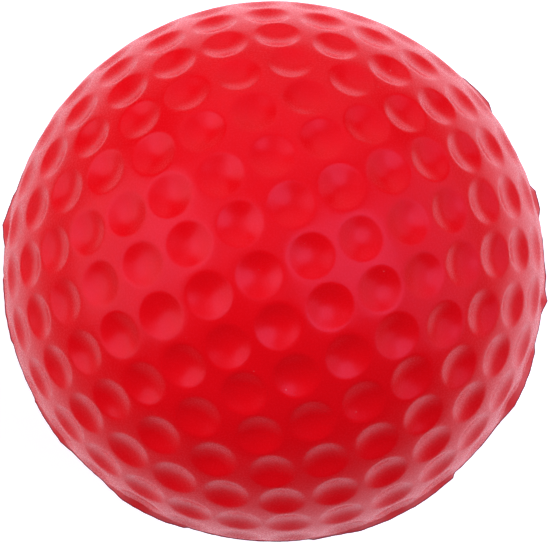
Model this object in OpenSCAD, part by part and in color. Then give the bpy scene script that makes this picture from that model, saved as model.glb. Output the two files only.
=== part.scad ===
// Foam practice golf ball: a self-skinned polyurethane foam moulding from a two-part mould.
// The mould axis is Z and the parting line lies in the XY plane, with the origin at the ball's centre.

/* [Ball] */
// Diameter over the lands between the dimples
ball_d = 42.7; // [41:0.1:66]
// Thickness of the dense skin, measured under a land
skin_t = 1.2; // [0.9:0.1:3]
// Bond line between the skin and the foam that fills it
bond_gap = 0.05; // [0.02:0.01:0.1]

/* [Dimples] */
// Width of a dimple across its rim
dimple_w = 3.55; // [2.8:0.05:3.6]
// Depth of a dimple below the lands around it
dimple_depth = 0.45; // [0.2:0.05:0.7]

/* [Parting line] */
// Thickness of the web of skin squeezed between the mould halves
web_t = 0.26; // [0.1:0.02:0.3]
// How far the trimmed web stands out from the lands all the way round
web_proud = 0.06; // [0:0.01:0.2]
// Height of the tallest stub that the trimming knife left, above the lands
stub_h = 0.46; // [0:0.02:0.8]

/* [Hidden] */
$fn = 96;

skin_colour = [0.86, 0.07, 0.12];
foam_colour = [0.88, 0.27, 0.29];

ball_r = ball_d / 2;
skin_inner_r = ball_r - skin_t;
core_r = skin_inner_r - bond_gap;

// The dimple pattern is octahedral. Three great circles cut the ball into eight octants, and each
// octant holds nested triangles of dimples, counted here along one side from the outside inwards.
side_counts = [8, 6, 3];
// Angle between neighbouring rows, so that the outer row has an even pitch right round the ball
row_pitch = 90 / side_counts[0];

// Angle of triangle t's sides above the great circles
function row_lat(t) = (t + 0.5) * row_pitch;

// Angle along a side at which two sides of a triangle meet in a corner dimple
function corner_lon(lat) = atan2(sin(lat), sqrt(1 - 2 * pow(sin(lat), 2)));

// Direction of dimple j along the side of triangle t that faces the XY plane
function side_dir(t, j) =
    let (
        lat = row_lat(t),
        first = corner_lon(lat),
        lon = first + j * (90 - 2 * first) / (side_counts[t] - 1)
    )
    [cos(lat) * cos(lon), cos(lat) * sin(lon), sin(lat)];

// A direction turned s thirds of a turn about the middle of its octant
function turned(v, s) = [for (i = [0 : 2]) v[(i - s + 3) % 3]];

// Directions of the dimples of one octant, each corner once
octant_dirs = [
    for (t = [0 : len(side_counts) - 1], s = [0 : 2], j = [0 : side_counts[t] - 2])
        turned(side_dir(t, j), s)
];

// Directions of the dimples on the upper half of the ball
half_dirs = [
    for (sx = [-1, 1], sy = [-1, 1], v = octant_dirs)
        [sx * v[0], sy * v[1], v[2]]
];

// A dimple is a slice of a sphere through its rim and its lowest point
rim_r = dimple_w / 2;
rim_drop = ball_r - sqrt(pow(ball_r, 2) - pow(rim_r, 2));
bowl_sag = dimple_depth - rim_drop;
bowl_r = (pow(rim_r, 2) + pow(bowl_sag, 2)) / (2 * bowl_sag);
// A cutter ends halfway between the rim and the middle of the land, so that neighbours stay apart
cutter_r = (rim_r + ball_r * sin(row_pitch / 2)) / 2;

// Stubs of web left by the knife, each a row of corners between straight cuts. A corner is its angle
// round Z and its share of the tallest height, and a share of 0 is a foot inside the trimmed edge.
stubs = [
    [[12, 0], [17.5, 0.85], [21, 0.8], [25, 0.5], [30, 0]],
    [[136.5, 0], [143, 0.4], [149.5, 1], [152, 0.55], [158, 0]],
    [[158, 0], [161, 0.25], [168, 0.35], [174, 0.35], [178, 0]],
    [[185.5, 0], [188, 0.4], [193, 0.5], [198, 0.6], [200.5, 0.3], [204, 0]],
    [[206, 0], [211, 0.3], [216, 0.85], [221, 0.8], [226, 0.7], [230, 0.4], [232.5, 0]],
    [
        [254, 0], [257.5, 0.35], [262, 0.25], [267.5, 0.7], [274, 0.75],
        [280, 0.8], [285, 0.7], [290, 0.6], [292, 0]
    ],
    [[294, 0], [299, 0.2], [304.5, 0.25], [310, 1], [314, 0.95], [318, 0.85], [322, 0.5], [327, 0]],
    [[326, 0], [331, 0.3], [333, 0.9], [335.5, 0.3], [338, 0.4], [341, 0.2], [345, 0]],
    [[348.5, 0], [352.5, 0.7], [356.5, 0.75], [360, 0]]
];

// Distance of a stub's corner from the ball's centre
function corner_r(share) = share > 0 ? ball_r + share * stub_h : ball_r - web_t;

module dimple_cutter() {
    intersection() {
        translate([0, 0, ball_r - dimple_depth + bowl_r])
            sphere(r = bowl_r);
        translate([0, 0, ball_r - 2 * dimple_depth])
            cylinder(r = cutter_r, h = 3 * dimple_depth);
    }
}

module skin_half() {
    difference() {
        sphere(r = ball_r);
        sphere(r = skin_inner_r);
        translate([0, 0, web_t / 2 - ball_d])
            cylinder(r = ball_d, h = ball_d);
        for (v = half_dirs)
            rotate([0, acos(v[2]), atan2(v[1], v[0])])
                dimple_cutter();
    }
}

module upper_skin() {
    color(skin_colour)
        skin_half();
}

module lower_skin() {
    color(skin_colour)
        mirror([0, 0, 1])
            skin_half();
}

module stub(corners) {
    outline = [for (c = corners) corner_r(c[1]) * [cos(c[0]), sin(c[0])]];
    polygon(concat([[0, 0]], outline));
}

module parting_web() {
    color(skin_colour)
        linear_extrude(height = web_t, center = true)
            difference() {
                union() {
                    circle(r = ball_r + web_proud);
                    for (s = stubs)
                        stub(s);
                }
                circle(r = skin_inner_r);
            }
}

module foam_core() {
    color(foam_colour)
        sphere(r = core_r);
}

foam_core();
lower_skin();
upper_skin();
parting_web();
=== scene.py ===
import math

import bmesh
import bpy
import numpy as np
from mathutils import Matrix, Vector, noise
from mathutils.geometry import delaunay_2d_cdt


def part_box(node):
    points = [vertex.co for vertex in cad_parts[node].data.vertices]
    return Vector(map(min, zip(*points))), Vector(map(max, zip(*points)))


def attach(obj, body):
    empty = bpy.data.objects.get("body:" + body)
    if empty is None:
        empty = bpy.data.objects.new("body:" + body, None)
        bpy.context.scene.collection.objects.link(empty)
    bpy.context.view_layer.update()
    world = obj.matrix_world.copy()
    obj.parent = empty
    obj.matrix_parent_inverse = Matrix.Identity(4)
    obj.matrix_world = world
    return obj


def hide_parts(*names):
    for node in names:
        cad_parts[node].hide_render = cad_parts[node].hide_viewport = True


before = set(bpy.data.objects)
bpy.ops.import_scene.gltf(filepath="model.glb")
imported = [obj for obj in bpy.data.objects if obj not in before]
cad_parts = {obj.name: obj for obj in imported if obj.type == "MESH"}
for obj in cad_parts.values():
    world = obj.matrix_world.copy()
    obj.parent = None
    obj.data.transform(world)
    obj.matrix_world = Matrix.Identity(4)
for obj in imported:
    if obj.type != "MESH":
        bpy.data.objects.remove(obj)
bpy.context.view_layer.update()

MM = 0.001
QUARTER = math.pi / 2

# Sizes that the frame holds
BALL_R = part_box("upper_skin")[1].z
WEB_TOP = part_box("upper_skin")[0].z
CORE_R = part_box("foam_core")[1].z

# Sizes of the construction that the frame's boxes do not show
BOND_GAP = 0.05 * MM
WEB_PROUD = 0.06 * MM
STUB_H = 0.46 * MM
SKIN_INNER_R = CORE_R + BOND_GAP

# Angle of a skin half's flat rim above the parting plane
SKIN_LOW = math.asin(WEB_TOP / BALL_R)

# Dimples along one side of each nested triangle of an octant, from the outside inwards
SIDE_COUNTS = (8, 6, 3)
ROW_PITCH = QUARTER / SIDE_COUNTS[0]
# Dimples less than this many row pitches apart are neighbours
NEIGHBOUR_PITCHES = 1.3

# Dimple section: the slope grows evenly over the bowl, holds to the shoulder and fades over a soft rim
DIMPLE_BOWL = 1.25 * MM
DIMPLE_SHOULDER = 1.62 * MM
DIMPLE_REACH = 2.05 * MM
DIMPLE_DEPTH = 0.56 * MM
# Depth of a dimple on the parting line as a share of one at the mould's pole
DIMPLE_SHALLOW = 0.6
# Radius of the outermost ring of a dimple's own mesh, just inside the crests between dimples
DIMPLE_RIM = 1.94 * MM

# Chance differences between one dimple and the next, and the mould's slow waviness
DEPTH_SPREAD = 0.05
UPPER_SEED = 11
LOWER_SEED = 12
WAVE_HEIGHT = 0.02 * MM
WAVE_LENGTH = 7 * MM
# The waviness leaves out the flat rim, up to this many times its height
WAVE_FROM = 1.05

# Skin mesh: steps round and across a dimple, along an octant's edge and up the dome inside
RIM_SEGMENTS = 32
BOWL_RINGS = 7
SHOULDER_RINGS = 5
EDGE_STEPS = 64
INNER_RINGS = 14
LAND_STEP = 0.5 * MM
LAND_MARGIN = 0.12 * MM
WELD_GRID = 0.001 * MM
# An axis whose height is past this counts as upright
UPRIGHT = 0.9
# Flat triangulation: only inside the outline, with points closer than this joined
INSIDE_ONLY = 1
JOIN_DISTANCE = 1e-9

# Stubs of web left by the knife, each a row of corners between straight cuts. A corner is its angle
# round Z and its share of the tallest height, and a share of 0 is a foot inside the trimmed edge.
STUBS = (
    ((12, 0), (17.5, 0.85), (21, 0.8), (25, 0.5), (30, 0)),
    ((136.5, 0), (143, 0.4), (149.5, 1), (152, 0.55), (158, 0)),
    ((158, 0), (161, 0.25), (168, 0.35), (174, 0.35), (178, 0)),
    ((185.5, 0), (188, 0.4), (193, 0.5), (198, 0.6), (200.5, 0.3), (204, 0)),
    ((206, 0), (211, 0.3), (216, 0.85), (221, 0.8), (226, 0.7), (230, 0.4), (232.5, 0)),
    (
        (254, 0), (257.5, 0.35), (262, 0.25), (267.5, 0.7), (274, 0.75),
        (280, 0.8), (285, 0.7), (290, 0.6), (292, 0),
    ),
    ((294, 0), (299, 0.2), (304.5, 0.25), (310, 1), (314, 0.95), (318, 0.85), (322, 0.5), (327, 0)),
    ((326, 0), (331, 0.3), (333, 0.9), (335.5, 0.3), (338, 0.4), (341, 0.2), (345, 0)),
    ((348.5, 0), (352.5, 0.7), (356.5, 0.75), (360, 0)),
)

# Web section: its flanks rise from feet on the skin to a lip, where the knife cut it
WEB_STEPS = 720
WEB_RAGGED = 0.03 * MM
WEB_RAGGED_LENGTH = 0.5 * MM
WEB_FOOT = 0.18 * MM
WEB_FOOT_GROWTH = 1.6
WEB_FOOT_SINK = 0.02 * MM
WEB_CUT = 0.07 * MM

# Foam filling, pitted by cells just under the skin
FOAM_SUBDIVISIONS = 6
PIT_SIZE = 0.9 * MM
PIT_DEPTH = 0.15 * MM

# Noise levels between which most of a noise lies
NOISE_LOW = 0.3
NOISE_HIGH = 0.7

# Skin material, with linear colours as in all materials here
SKIN_BRIGHT = (0.825, 0.0004, 0.004)
SKIN_DEEP = (0.785, 0.0003, 0.003)
SKIN_DUST = (0.85, 0.12, 0.14)
SKIN_ROUGHNESS = 0.27
SKIN_ROUGHNESS_SPREAD = 0.02
SKIN_DIFFUSE_ROUGHNESS = 0.45
SKIN_IOR = 1.5
SKIN_SPECULAR = 0.5
SKIN_GLOSS_TINT = (0.4, 0.21, 0.4)
SKIN_SHEEN = 0.6
SKIN_SHEEN_ROUGHNESS = 0.5
SKIN_SHEEN_TINT = (1, 0.02, 0.05)
MOTTLE_SIZE = 3.2 * MM
MOTTLE_DETAIL = 3
GRAIN_SIZE = 0.16 * MM
GRAIN_DETAIL = 2
GRAIN_HEIGHT = 0.001 * MM
SPECK_SIZE = 0.3 * MM
SPECK_DETAIL = 0
# Noise levels at which a speck starts and is full, and its share of dust there
SPECK_FROM = 0.9
SPECK_FULL = 0.92
SPECK_SHARE = 0.7

# Web and knife-cut materials; the cut is painted dark for the shade along the web's edge
WEB_DARK = (0.7, 0.001, 0.006)
WEB_ROUGHNESS = 0.36
WEB_STREAK_SIZE = 0.5 * MM
WEB_STREAK_DETAIL = 4
WEB_STREAK_HEIGHT = 0.01 * MM
# Painted shade: the cut's colours, dark for the shade along the web's edge
CUT_SHADE_LIGHT = (0.3, 0.01, 0.04)
CUT_SHADE_DARK = (0.12, 0.006, 0.025)
CUT_ROUGHNESS = 0.8
CUT_SPECULAR = 0.1
CUT_STREAK_SIZE = 0.3 * MM
CUT_STREAK_DETAIL = 3
CUT_STREAK_HEIGHT = 0.02 * MM

# Foam material, with its cells painted darker in their hollows for shade, and the distances from a
# cell's edge at which its wall ends and its hollow starts
FOAM_WALL = (0.75, 0.05, 0.06)
FOAM_CELL_SHADE = (0.45, 0.01, 0.02)
FOAM_ROUGHNESS = 0.85
FOAM_SPECULAR = 0.2
FOAM_CELL_SIZE = 0.5 * MM
FOAM_CELL_HEIGHT = 0.1 * MM
FOAM_WALL_END = 0.02
FOAM_HOLLOW_START = 0.2

# Floor: white, off the ball's centre, fading to grey as a painted pool of light, and a wall past the
# last ring
LIGHT_POOL_R = 0.038
LIGHT_POOL_FADE_R = 0.115
LIGHT_POOL_SHIFT = (0.025, 0.009)
LIGHT_POOL_WHITE = (0.9, 0.9, 0.9)
SHEET_ROUGHNESS = 0.9
FLOOR_GREY = (0.28, 0.28, 0.28)
FLOOR_GLOW = 0.84
GLOW_TINT = (0.83, 0.83, 1)
FLOOR_RINGS = (0.05, 0.15, 0.5, 2)
FLOOR_SIDES = 96
WALL_H = 0.8
WALL_STEPS = 10

# Lamps: angle from the camera's axis, angle round it and half width, in degrees, radiance and tint
LAMP_DISTANCE = 0.9
PLAIN = (1, 1, 1)
COOL = (1, 0.99, 1.2)
LAMPS = (
    ("left_softbox", 64, 172, 31, 1.73, PLAIN),
    ("upper_left_softbox", 40, 152, 23, 1.15, PLAIN),
    ("right_softbox", 30.5, 9, 20.5, 2.05, COOL),
    ("front_softbox", 12.5, 53, 25, 0.5, PLAIN),
    ("top_softbox", 70, 88, 33, 0.69, PLAIN),
    ("side_softbox", 71, 8, 33, 0.93, COOL),
)
WORLD_LEVEL = 0.17

# Image size, and the place and radius of the ball in it, in pixels
IMAGE_W = 550
IMAGE_H = 544
BALL_X = 274.1
BALL_Y = 271.3
BALL_PX = 270.3

# Camera: direction from the ball, roll about it, and distance in ball radii
CAM_AZIMUTH = math.radians(-23.03)
CAM_ELEVATION = math.radians(83.48)
CAM_ROLL = math.radians(2.27)
CAM_DISTANCE = 20.2
CAM_CLIP_START = 0.01
SENSOR_W = 36.0


# Directions and loops


def unit(v):
    return v / np.linalg.norm(v, axis=-1, keepdims=True)


def side_dir(lat, lon):
    return np.array([math.cos(lat) * math.cos(lon), math.cos(lat) * math.sin(lon), math.sin(lat)])


def across(axis):
    """Two directions square to an axis and to each other."""
    side = np.cross(axis, (0, 0, 1) if abs(axis[2]) < UPRIGHT else (1, 0, 0))
    side /= np.linalg.norm(side)
    return side, np.cross(axis, side)


def loop_pairs(count):
    """Each place in a closed loop, with the place after it."""
    return [(k, (k + 1) % count) for k in range(count)]


# Dimple pattern


def octant_dirs():
    """Directions of one octant's dimples: nested triangles whose sides keep an even pitch."""
    dirs = []
    for t, count in enumerate(SIDE_COUNTS):
        lat = (t + 0.5) * ROW_PITCH
        first = math.atan2(math.sin(lat), math.sqrt(1 - 2 * math.sin(lat) ** 2))
        step = (QUARTER - 2 * first) / (count - 1)
        for turn in range(3):
            dirs += [np.roll(side_dir(lat, first + j * step), turn) for j in range(count - 1)]
    return np.array(dirs)


def from_axis(dirs, p):
    """Distance along the ball from a point to the nearest dimple's axis."""
    return BALL_R * math.acos((dirs @ p).max())


def dimple_drop(x):
    """Depth below the lands at distance x from a dimple's axis."""
    fade = DIMPLE_REACH - DIMPLE_SHOULDER
    slope = 2 * DIMPLE_DEPTH / (DIMPLE_SHOULDER - DIMPLE_BOWL + DIMPLE_REACH)
    bowl = DIMPLE_DEPTH - slope * x * x / (2 * DIMPLE_BOWL)
    flank = DIMPLE_DEPTH - slope * (x - DIMPLE_BOWL / 2)
    rim = slope * (DIMPLE_REACH - x) ** 2 / (2 * fade)
    inner = np.where(x < DIMPLE_BOWL, bowl, flank)
    return np.where(x < DIMPLE_SHOULDER, inner, np.where(x < DIMPLE_REACH, rim, 0))


def ring_radii():
    """Distances of a dimple's rings from its axis, the last on the rim's outer edge."""
    bowl = [DIMPLE_SHOULDER * (i + 1) / BOWL_RINGS for i in range(BOWL_RINGS)]
    width = DIMPLE_RIM - DIMPLE_SHOULDER
    shoulder = [DIMPLE_SHOULDER + width * (i + 1) / SHOULDER_RINGS for i in range(SHOULDER_RINGS)]
    return bowl + shoulder


# Octant mesh, on the unit sphere


def circle_round(axis, angle):
    """Directions on a circle at an angle from an axis."""
    u, v = across(axis)
    spin = [2 * math.pi * k / RIM_SEGMENTS for k in range(RIM_SEGMENTS)]
    away = [u * math.cos(s) + v * math.sin(s) for s in spin]
    return [axis * math.cos(angle) + d * math.sin(angle) for d in away]


def ring_faces(inner, outer):
    """Faces between two rings of vertices, as triangles where the inner ring is one vertex."""
    faces = []
    for k, n in loop_pairs(len(outer)):
        face = (inner[k], outer[k], outer[n], inner[n])
        faces.append(face[:3] if inner[k] == inner[n] else face)
    return faces


def octant_edge():
    """The octant's outline: down one great circle, along the parting web and back up another."""
    rise = QUARTER - SKIN_LOW
    loop = [side_dir(QUARTER - rise * i / EDGE_STEPS, 0) for i in range(EDGE_STEPS)]
    loop += [side_dir(SKIN_LOW, QUARTER * i / EDGE_STEPS) for i in range(EDGE_STEPS)]
    for i in range(EDGE_STEPS):
        lat = SKIN_LOW + rise * i / EDGE_STEPS
        loop.append(np.array((0, math.cos(lat), math.sin(lat))))
    return loop


def land_points(dirs):
    """Points on the crests between neighbouring dimples, and spread over the wider lands."""
    step = LAND_STEP / BALL_R
    gap = LAND_MARGIN / BALL_R
    spacing = 2 * gap
    near = math.cos(NEIGHBOUR_PITCHES * ROW_PITCH)
    spread = [unit(a + b) for i, a in enumerate(dirs) for b in dirs[:i] if a @ b > near]
    rows = int((QUARTER - SKIN_LOW) / step)
    for r in range(1, rows):
        lat = SKIN_LOW + (QUARTER - SKIN_LOW) * r / rows
        count = max(1, int(QUARTER * math.cos(lat) / step))
        spread += [side_dir(lat, QUARTER * (j + 0.5) / count) for j in range(count)]
    spread = np.array(spread)
    fits = (spread[:, :2].min(axis=1) > gap) & (spread[:, 2] > math.sin(SKIN_LOW) + gap)
    fits &= (spread @ dirs.T).max(axis=1) < math.cos((DIMPLE_RIM + LAND_MARGIN) / BALL_R)
    points = []
    for p in spread[fits]:
        if not points or np.linalg.norm(np.array(points) - p, axis=1).min() > spacing:
            points.append(p)
    return points


def land_faces(points, dirs, loops, land):
    """Faces of the lands: a flat triangulation of the loops round them and the points on them."""
    middle = unit(np.ones(3))
    u, v = across(middle)
    used = [i for loop in loops for i in loop] + land
    flat = [Vector((points[i] @ u, points[i] @ v)) / (1 + points[i] @ middle) for i in used]
    spot = {i: k for k, i in enumerate(used)}
    sides = [(spot[a], spot[b]) for loop in loops for a, b in zip(loop, loop[1:] + loop[:1])]
    _, _, triangles, sources, _, _ = delaunay_2d_cdt(flat, sides, [], INSIDE_ONLY, JOIN_DISTANCE)
    inside = math.cos(DIMPLE_RIM / BALL_R)
    faces = []
    for triangle in triangles:
        corners = [used[sources[k][0]] for k in triangle]
        centre = unit(points[corners].mean(axis=0))
        if (dirs @ centre).max() < inside:
            faces.append(tuple(corners))
    return faces


def facing_out(points, face):
    """The face turned so that its normal points away from the ball's centre."""
    a, b, c = (points[i] for i in face[:3])
    return tuple(face) if np.dot(np.cross(b - a, c - a), a + b + c) > 0 else tuple(reversed(face))


def octant_mesh():
    """Directions, faces, each vertex's dimple and distance from its axis, and the outline."""
    dirs = octant_dirs()
    points = []
    owner = []
    dist = []
    faces = []
    rims = []

    def add(p, dimple, x):
        points.append(p)
        owner.append(dimple)
        dist.append(x)
        return len(points) - 1

    for d, axis in enumerate(dirs):
        ring = [add(axis, d, 0.0)] * RIM_SEGMENTS
        for x in ring_radii():
            inner = ring
            ring = [add(p, d, x) for p in circle_round(axis, x / BALL_R)]
            faces += ring_faces(inner, ring)
        rims.append(ring)
    edge = [add(p, -1, from_axis(dirs, p)) for p in octant_edge()]
    land = [add(p, -1, from_axis(dirs, p)) for p in land_points(dirs)]
    points = np.array(points)
    faces += land_faces(points, dirs, rims + [edge], land)
    faces = [facing_out(points, face) for face in faces]
    return points, faces, np.array(owner), np.array(dist), edge


# Materials


def new_material(name):
    material = bpy.data.materials.new(name)
    material.use_nodes = True
    tree = material.node_tree
    return material, tree, tree.nodes["Principled BSDF"]


def add_node(tree, kind, **values):
    node = tree.nodes.new(kind)
    for key, value in values.items():
        setattr(node, key, value)
    return node


def set_sockets(node, values):
    for name, value in values.items():
        node.inputs[name].default_value = value


def noise_level(tree, size, detail):
    """Noise whose features are about the given size, fixed to the piece."""
    coords = add_node(tree, "ShaderNodeTexCoord")
    node = add_node(tree, "ShaderNodeTexNoise")
    set_sockets(node, {"Scale": 1 / size, "Detail": detail})
    tree.links.new(coords.outputs["Object"], node.inputs["Vector"])
    return node.outputs["Fac"]


def remap(tree, source, low, high, to_low, to_high):
    node = add_node(tree, "ShaderNodeMapRange")
    set_sockets(node, {"From Min": low, "From Max": high, "To Min": to_low, "To Max": to_high})
    tree.links.new(source, node.inputs["Value"])
    return node.outputs["Result"]


def mixed(tree, factor, first, second):
    """Colour between two colours, each a constant or another node's output."""
    node = add_node(tree, "ShaderNodeMix", data_type="RGBA")
    tree.links.new(factor, node.inputs["Factor"])
    for socket, colour in ((node.inputs["A"], first), (node.inputs["B"], second)):
        if isinstance(colour, tuple):
            socket.default_value = (*colour, 1)
        else:
            tree.links.new(colour, socket)
    return node.outputs["Result"]


def bump(tree, shader, source, height):
    node = add_node(tree, "ShaderNodeBump")
    node.inputs["Distance"].default_value = height
    tree.links.new(source, node.inputs["Height"])
    tree.links.new(node.outputs["Normal"], shader.inputs["Normal"])


def streaks(tree, shader, size, detail, height, dark, light):
    """Colour and bump that follow one noise."""
    level = noise_level(tree, size, detail)
    tree.links.new(mixed(tree, level, dark, light), shader.inputs["Base Color"])
    bump(tree, shader, level, height)


def skin_material():
    """Satin red skin: faint mottling from the mould, a fine grain and a few pale specks."""
    material, tree, shader = new_material("red_skin")
    mottle = noise_level(tree, MOTTLE_SIZE, MOTTLE_DETAIL)
    bright = remap(tree, mottle, NOISE_LOW, NOISE_HIGH, 0, 1)
    speck = noise_level(tree, SPECK_SIZE, SPECK_DETAIL)
    dust = remap(tree, speck, SPECK_FROM, SPECK_FULL, 0, SPECK_SHARE)
    colour = mixed(tree, dust, mixed(tree, bright, SKIN_DEEP, SKIN_BRIGHT), SKIN_DUST)
    tree.links.new(colour, shader.inputs["Base Color"])
    grain = noise_level(tree, GRAIN_SIZE, GRAIN_DETAIL)
    smoothest = SKIN_ROUGHNESS - SKIN_ROUGHNESS_SPREAD
    roughest = SKIN_ROUGHNESS + SKIN_ROUGHNESS_SPREAD
    rough = remap(tree, grain, NOISE_LOW, NOISE_HIGH, smoothest, roughest)
    tree.links.new(rough, shader.inputs["Roughness"])
    bump(tree, shader, grain, GRAIN_HEIGHT)
    set_sockets(shader, {
        "IOR": SKIN_IOR,
        "Diffuse Roughness": SKIN_DIFFUSE_ROUGHNESS,
        "Specular IOR Level": SKIN_SPECULAR,
        "Specular Tint": (*SKIN_GLOSS_TINT, 1),
        "Sheen Weight": SKIN_SHEEN,
        "Sheen Roughness": SKIN_SHEEN_ROUGHNESS,
        "Sheen Tint": (*SKIN_SHEEN_TINT, 1),
    })
    return material


def web_material():
    """The web's flanks: the same skin, a little streaky."""
    material, tree, shader = new_material("red_web")
    streaks(
        tree, shader, WEB_STREAK_SIZE, WEB_STREAK_DETAIL, WEB_STREAK_HEIGHT, WEB_DARK, SKIN_BRIGHT
    )
    set_sockets(shader, {
        "Roughness": WEB_ROUGHNESS,
        "Specular IOR Level": SKIN_SPECULAR,
        "Specular Tint": (*SKIN_GLOSS_TINT, 1),
    })
    return material


def cut_shade_material():
    """The knife's cut along the web's edge: matt, and painted dark for the shade along the web's edge.
    """
    material, tree, shader = new_material("red_cut_painted_shade")
    streaks(
        tree, shader, CUT_STREAK_SIZE, CUT_STREAK_DETAIL, CUT_STREAK_HEIGHT, CUT_SHADE_DARK, CUT_SHADE_LIGHT
    )
    set_sockets(shader, {"Roughness": CUT_ROUGHNESS, "Specular IOR Level": CUT_SPECULAR})
    return material


def foam_material():
    """Closed-cell foam: pale walls between cells painted darker for the shade in their hollows."""
    material, tree, shader = new_material("red_foam")
    coords = add_node(tree, "ShaderNodeTexCoord")
    cells = add_node(tree, "ShaderNodeTexVoronoi", feature="DISTANCE_TO_EDGE")
    cells.inputs["Scale"].default_value = 1 / FOAM_CELL_SIZE
    tree.links.new(coords.outputs["Object"], cells.inputs["Vector"])
    # Painted shade: darker from the wall into each cell's hollow
    hollow_shade = remap(tree, cells.outputs["Distance"], FOAM_WALL_END, FOAM_HOLLOW_START, 0, 1)
    tree.links.new(mixed(tree, hollow_shade, FOAM_WALL, FOAM_CELL_SHADE), shader.inputs["Base Color"])
    bump(tree, shader, cells.outputs["Distance"], FOAM_CELL_HEIGHT)
    set_sockets(shader, {"Roughness": FOAM_ROUGHNESS, "Specular IOR Level": FOAM_SPECULAR})
    return material


def floor_material():
    """A painted pool of light: white that fades to grey. Lamps shade it, and a glow that fades with
    the painted pool lifts what is seen of it.
    """
    material, tree, shader = new_material("floor_painted_light_pool")
    coords = add_node(tree, "ShaderNodeTexCoord")
    reach = add_node(tree, "ShaderNodeVectorMath", operation="LENGTH")
    tree.links.new(coords.outputs["Object"], reach.inputs[0])
    # Painted pool of light: white near the centre, fading to grey further out
    light_pool = remap(tree, reach.outputs["Value"], LIGHT_POOL_R, LIGHT_POOL_FADE_R, 1, 0)
    tree.links.new(mixed(tree, light_pool, FLOOR_GREY, LIGHT_POOL_WHITE), shader.inputs["Base Color"])
    path = add_node(tree, "ShaderNodeLightPath")
    seen = path.outputs["Is Camera Ray"]
    for name in ("Is Glossy Ray", "Is Transmission Ray"):
        both = add_node(tree, "ShaderNodeMath", operation="MAXIMUM")
        tree.links.new(seen, both.inputs[0])
        tree.links.new(path.outputs[name], both.inputs[1])
        seen = both.outputs["Value"]
    # The glow that camera, glossy and transmission rays see fades with the painted pool of light
    lit = add_node(tree, "ShaderNodeMath", operation="MULTIPLY")
    tree.links.new(seen, lit.inputs[0])
    tree.links.new(light_pool, lit.inputs[1])
    glow = remap(tree, lit.outputs["Value"], 0, 1, 0, FLOOR_GLOW)
    tree.links.new(glow, shader.inputs["Emission Strength"])
    set_sockets(shader, {
        "Roughness": SHEET_ROUGHNESS,
        "Specular IOR Level": 0,
        "Emission Color": (*GLOW_TINT, 1),
    })
    return material


# Pieces


def link_mesh(name, verts, faces, material):
    """A smooth piece made of vertices and faces."""
    mesh = bpy.data.meshes.new(name)
    mesh.from_pydata([tuple(v) for v in verts], [], faces)
    mesh.validate()
    mesh.update()
    mesh.materials.append(material)
    mesh.polygons.foreach_set("use_smooth", [True] * len(mesh.polygons))
    piece = bpy.data.objects.new(name, mesh)
    bpy.context.scene.collection.objects.link(piece)
    return piece


def wavy(p):
    """A point of the skin, moved by the mould's slow waviness unless it is on the flat rim."""
    if abs(p[2]) <= WAVE_FROM * WEB_TOP:
        return p
    lift = WAVE_HEIGHT * noise.noise(Vector(p) / WAVE_LENGTH)
    return p + unit(p) * lift


def skin_outside(side, seed, octant):
    """Four octants of dimpled skin, joined along their edges, and the loop of vertices at the rim."""
    points, octant_faces, owner, dist, edge = octant
    height = octant_dirs()[:, 2]
    rng = np.random.default_rng(seed)
    verts = []
    faces = []
    rim_loop = []
    index = {}
    for sx, sy in ((1, 1), (-1, 1), (-1, -1), (1, -1)):
        spread = 1 + DEPTH_SPREAD * rng.uniform(-1, 1, len(height))
        spread *= DIMPLE_SHALLOW + (1 - DIMPLE_SHALLOW) * height
        depth = dimple_drop(dist) * np.where(owner >= 0, spread[owner], DIMPLE_SHALLOW)
        shell = points * (BALL_R - depth)[:, None] * np.array((sx, sy, side))
        ids = []
        for p in shell:
            key = tuple(np.round(p / WELD_GRID).astype(int))
            if key not in index:
                index[key] = len(verts)
                verts.append(p)
            ids.append(index[key])
        faces += [[ids[i] for i in f[::sx * sy * side]] for f in octant_faces]
        rim = [ids[i] for i in edge[EDGE_STEPS:2 * EDGE_STEPS + 1]]
        rim_loop += rim[::sx * sy][:-1]
    return [wavy(p) for p in verts], faces, rim_loop


def add_dome(verts, faces, rim_loop, side):
    """Closes a skin half inside by a plain dome, ring by ring from the rim to its crown."""
    low = math.asin(WEB_TOP / SKIN_INNER_R)
    last = rim_loop
    for r in range(INNER_RINGS):
        lat = low + (QUARTER - low) * r / INNER_RINGS
        ring = []
        for i in rim_loop:
            lon = math.atan2(verts[i][1], verts[i][0])
            ring.append(len(verts))
            verts.append(side_dir(lat, lon) * SKIN_INNER_R * np.array((1, 1, side)))
        for k, n in loop_pairs(len(ring)):
            faces.append((last[k], last[n], ring[n], ring[k])[::side])
        last = ring
    crown = len(verts)
    verts.append(np.array((0, 0, side * SKIN_INNER_R)))
    for k, n in loop_pairs(len(last)):
        faces.append((last[k], last[n], crown)[::side])


def skin_half(name, side, seed, octant, material):
    """One moulded half of the skin: side is 1 for the upper half and -1 for the lower one."""
    verts, faces, rim_loop = skin_outside(side, seed, octant)
    add_dome(verts, faces, rim_loop, side)
    return link_mesh(name, verts, faces, material)


def corner_radius(share):
    """Distance of a stub's corner from the ball's centre."""
    return BALL_R + share * STUB_H if share > 0 else BALL_R - 2 * WEB_TOP


def web_radius(angle):
    """Radius of the web's edge at an angle in degrees: the trimmed circle, or a stub past it."""
    reach = BALL_R + WEB_PROUD
    for stub in STUBS:
        for (start, low), (end, high) in zip(stub, stub[1:]):
            if start <= angle <= end:
                first = corner_radius(low)
                last = corner_radius(high)
                before = math.sin(math.radians(angle - start))
                after = math.sin(math.radians(end - angle))
                whole = math.sin(math.radians(end - start))
                reach = max(reach, first * last * whole / (first * before + last * after))
    return reach


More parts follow.
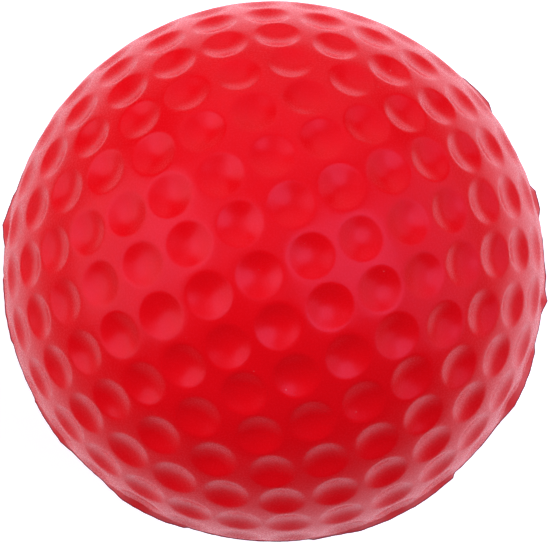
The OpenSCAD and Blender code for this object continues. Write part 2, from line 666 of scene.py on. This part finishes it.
def web_section(dirs, angle):
    """Upper half of the web's section at an angle in degrees, from the inside to the cut edge."""
    turn = math.radians(angle)
    spoke = Vector((math.cos(turn), math.sin(turn), 0))
    ragged = WEB_RAGGED * noise.noise(spoke * BALL_R / WEB_RAGGED_LENGTH)
    reach = web_radius(angle) + ragged
    foot_z = WEB_FOOT + WEB_FOOT_GROWTH * (reach - BALL_R)
    lat = math.asin(foot_z / BALL_R)
    drop = dimple_drop(from_axis(dirs, np.abs(side_dir(lat, turn))))
    foot_r = (BALL_R - DIMPLE_SHALLOW * drop) * math.cos(lat) - WEB_FOOT_SINK
    return [(SKIN_INNER_R, WEB_TOP), (foot_r, foot_z), (reach - WEB_CUT, WEB_CUT), (reach, 0)]


def web_ring(name, flank, cut):
    """The trimmed web: a low ridge round the ball, with straight-sided stubs and a knife-cut edge."""
    dirs = octant_dirs()
    verts = []
    faces = []
    for k in range(WEB_STEPS):
        angle = 360 * k / WEB_STEPS
        turn = math.radians(angle)
        upper = web_section(dirs, angle)
        section = upper + [(r, -z) for r, z in reversed(upper[:-1])]
        verts += [(r * math.cos(turn), r * math.sin(turn), z) for r, z in section]
    size = len(section)
    for k, n in loop_pairs(WEB_STEPS):
        for i, j in loop_pairs(size):
            faces.append((k * size + i, k * size + j, n * size + j, n * size + i))
    piece = link_mesh(name, verts, faces, flank)
    # The cut faces at the web's edge take the material painted dark for shade
    piece.data.materials.append(cut)
    edge = len(upper) - 1
    for face in piece.data.polygons:
        face.material_index = 1 if face.index % size in (edge - 1, edge) else 0
    for crease in piece.data.edges:
        first, second = (v % size for v in crease.vertices)
        crease.use_edge_sharp = first == second
    return piece


def foam_ball(name, material):
    """The foam filling, its surface pitted by cells just under the skin."""
    mesh = bpy.data.meshes.new(name)
    build = bmesh.new()
    bmesh.ops.create_icosphere(build, subdivisions=FOAM_SUBDIVISIONS, radius=CORE_R)
    for vert in build.verts:
        pit = noise.cell(vert.co / PIT_SIZE)
        vert.co *= 1 - abs(pit) * PIT_DEPTH / CORE_R
    build.to_mesh(mesh)
    build.free()
    mesh.materials.append(material)
    piece = bpy.data.objects.new(name, mesh)
    bpy.context.scene.collection.objects.link(piece)
    return piece


def place(piece, node):
    """Rides a piece on the part's one body in place of its CAD node."""
    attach(piece, "root")
    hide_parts(node)


# Camera and stage


def add_camera(scene):
    """The camera at the photo's viewing angle. Gives the turn from its axes to the world's."""
    back = Vector((
        math.sin(CAM_AZIMUTH) * math.cos(CAM_ELEVATION),
        -math.cos(CAM_AZIMUTH) * math.cos(CAM_ELEVATION),
        math.sin(CAM_ELEVATION),
    ))
    aim = (-back).to_track_quat("-Z", "Y").to_matrix() @ Matrix.Rotation(CAM_ROLL, 3, "Z")
    focal_px = BALL_PX * math.sqrt(CAM_DISTANCE ** 2 - 1)
    data = bpy.data.cameras.new("camera")
    data.sensor_width = SENSOR_W
    data.lens = focal_px * SENSOR_W / IMAGE_W
    data.shift_x = (IMAGE_W / 2 - BALL_X) / IMAGE_W
    data.shift_y = (BALL_Y - IMAGE_H / 2) / IMAGE_W
    data.clip_start = CAM_CLIP_START
    camera = bpy.data.objects.new("camera", data)
    scene.collection.objects.link(camera)
    camera.rotation_mode = "QUATERNION"
    camera.rotation_quaternion = aim.to_quaternion()
    camera.location = back * CAM_DISTANCE * BALL_R
    scene.camera = camera
    return aim


def backdrop():
    """A floor that curves up into a low wall all the way round, well outside the lamps."""
    profile = [(r, 0) for r in FLOOR_RINGS]
    for k in range(1, WALL_STEPS + 1):
        a = QUARTER * k / WALL_STEPS
        profile.append((FLOOR_RINGS[-1] + WALL_H * math.sin(a), WALL_H * (1 - math.cos(a))))
    turns = [2 * math.pi * k / FLOOR_SIDES for k in range(FLOOR_SIDES)]
    verts = [(0, 0, -BALL_R)]
    faces = []
    ring = [0] * FLOOR_SIDES
    for r, z in profile:
        inner = ring
        ring = [len(verts) + k for k in range(FLOOR_SIDES)]
        verts += [(r * math.cos(a), r * math.sin(a), z - BALL_R) for a in turns]
        faces += ring_faces(inner, ring)
    piece = link_mesh("floor", verts, faces, floor_material())
    # The floor is moved so that its painted pool of light sits off the ball's centre
    piece.location = (*LIGHT_POOL_SHIFT, 0)
    return piece


def soft_lamp(scene, aim, name, polar, azimuth, half, radiance, tint):
    """A round soft lamp facing the ball, placed by angles from the camera's axis and round it."""
    polar, azimuth, half = (math.radians(x) for x in (polar, azimuth, half))
    towards = aim @ Vector((
        math.sin(polar) * math.cos(azimuth), math.sin(polar) * math.sin(azimuth), math.cos(polar)
    ))
    radius = LAMP_DISTANCE * math.tan(half)
    data = bpy.data.lights.new(name, "AREA")
    data.shape = "DISK"
    data.color = tint
    data.size = 2 * radius
    data.energy = radiance * math.pi * math.pi * radius ** 2
    lamp = bpy.data.objects.new(name, data)
    lamp.visible_camera = False
    scene.collection.objects.link(lamp)
    lamp.location = towards * LAMP_DISTANCE
    lamp.rotation_mode = "QUATERNION"
    lamp.rotation_quaternion = towards.to_track_quat("Z", "Y")


def plain_world():
    world = bpy.data.worlds.new("world")
    world.use_nodes = True
    background = world.node_tree.nodes["Background"]
    set_sockets(background, {"Color": (1, 1, 1, 1), "Strength": WORLD_LEVEL})
    return world


# The ball

octant = octant_mesh()
skin = skin_material()
upper = skin_half("skin_upper", 1, UPPER_SEED, octant, skin)
lower = skin_half("skin_lower", -1, LOWER_SEED, octant, skin)
web = web_ring("web_ring", web_material(), cut_shade_material())
core = foam_ball("foam_filling", foam_material())
place(upper, "upper_skin")
place(lower, "lower_skin")
place(web, "parting_web")
place(core, "foam_core")

# The picture

scene = bpy.context.scene
scene.view_settings.view_transform = "Standard"
aim = add_camera(scene)
floor = backdrop()
for lamp in LAMPS:
    soft_lamp(scene, aim, *lamp)
scene.world = plain_world()
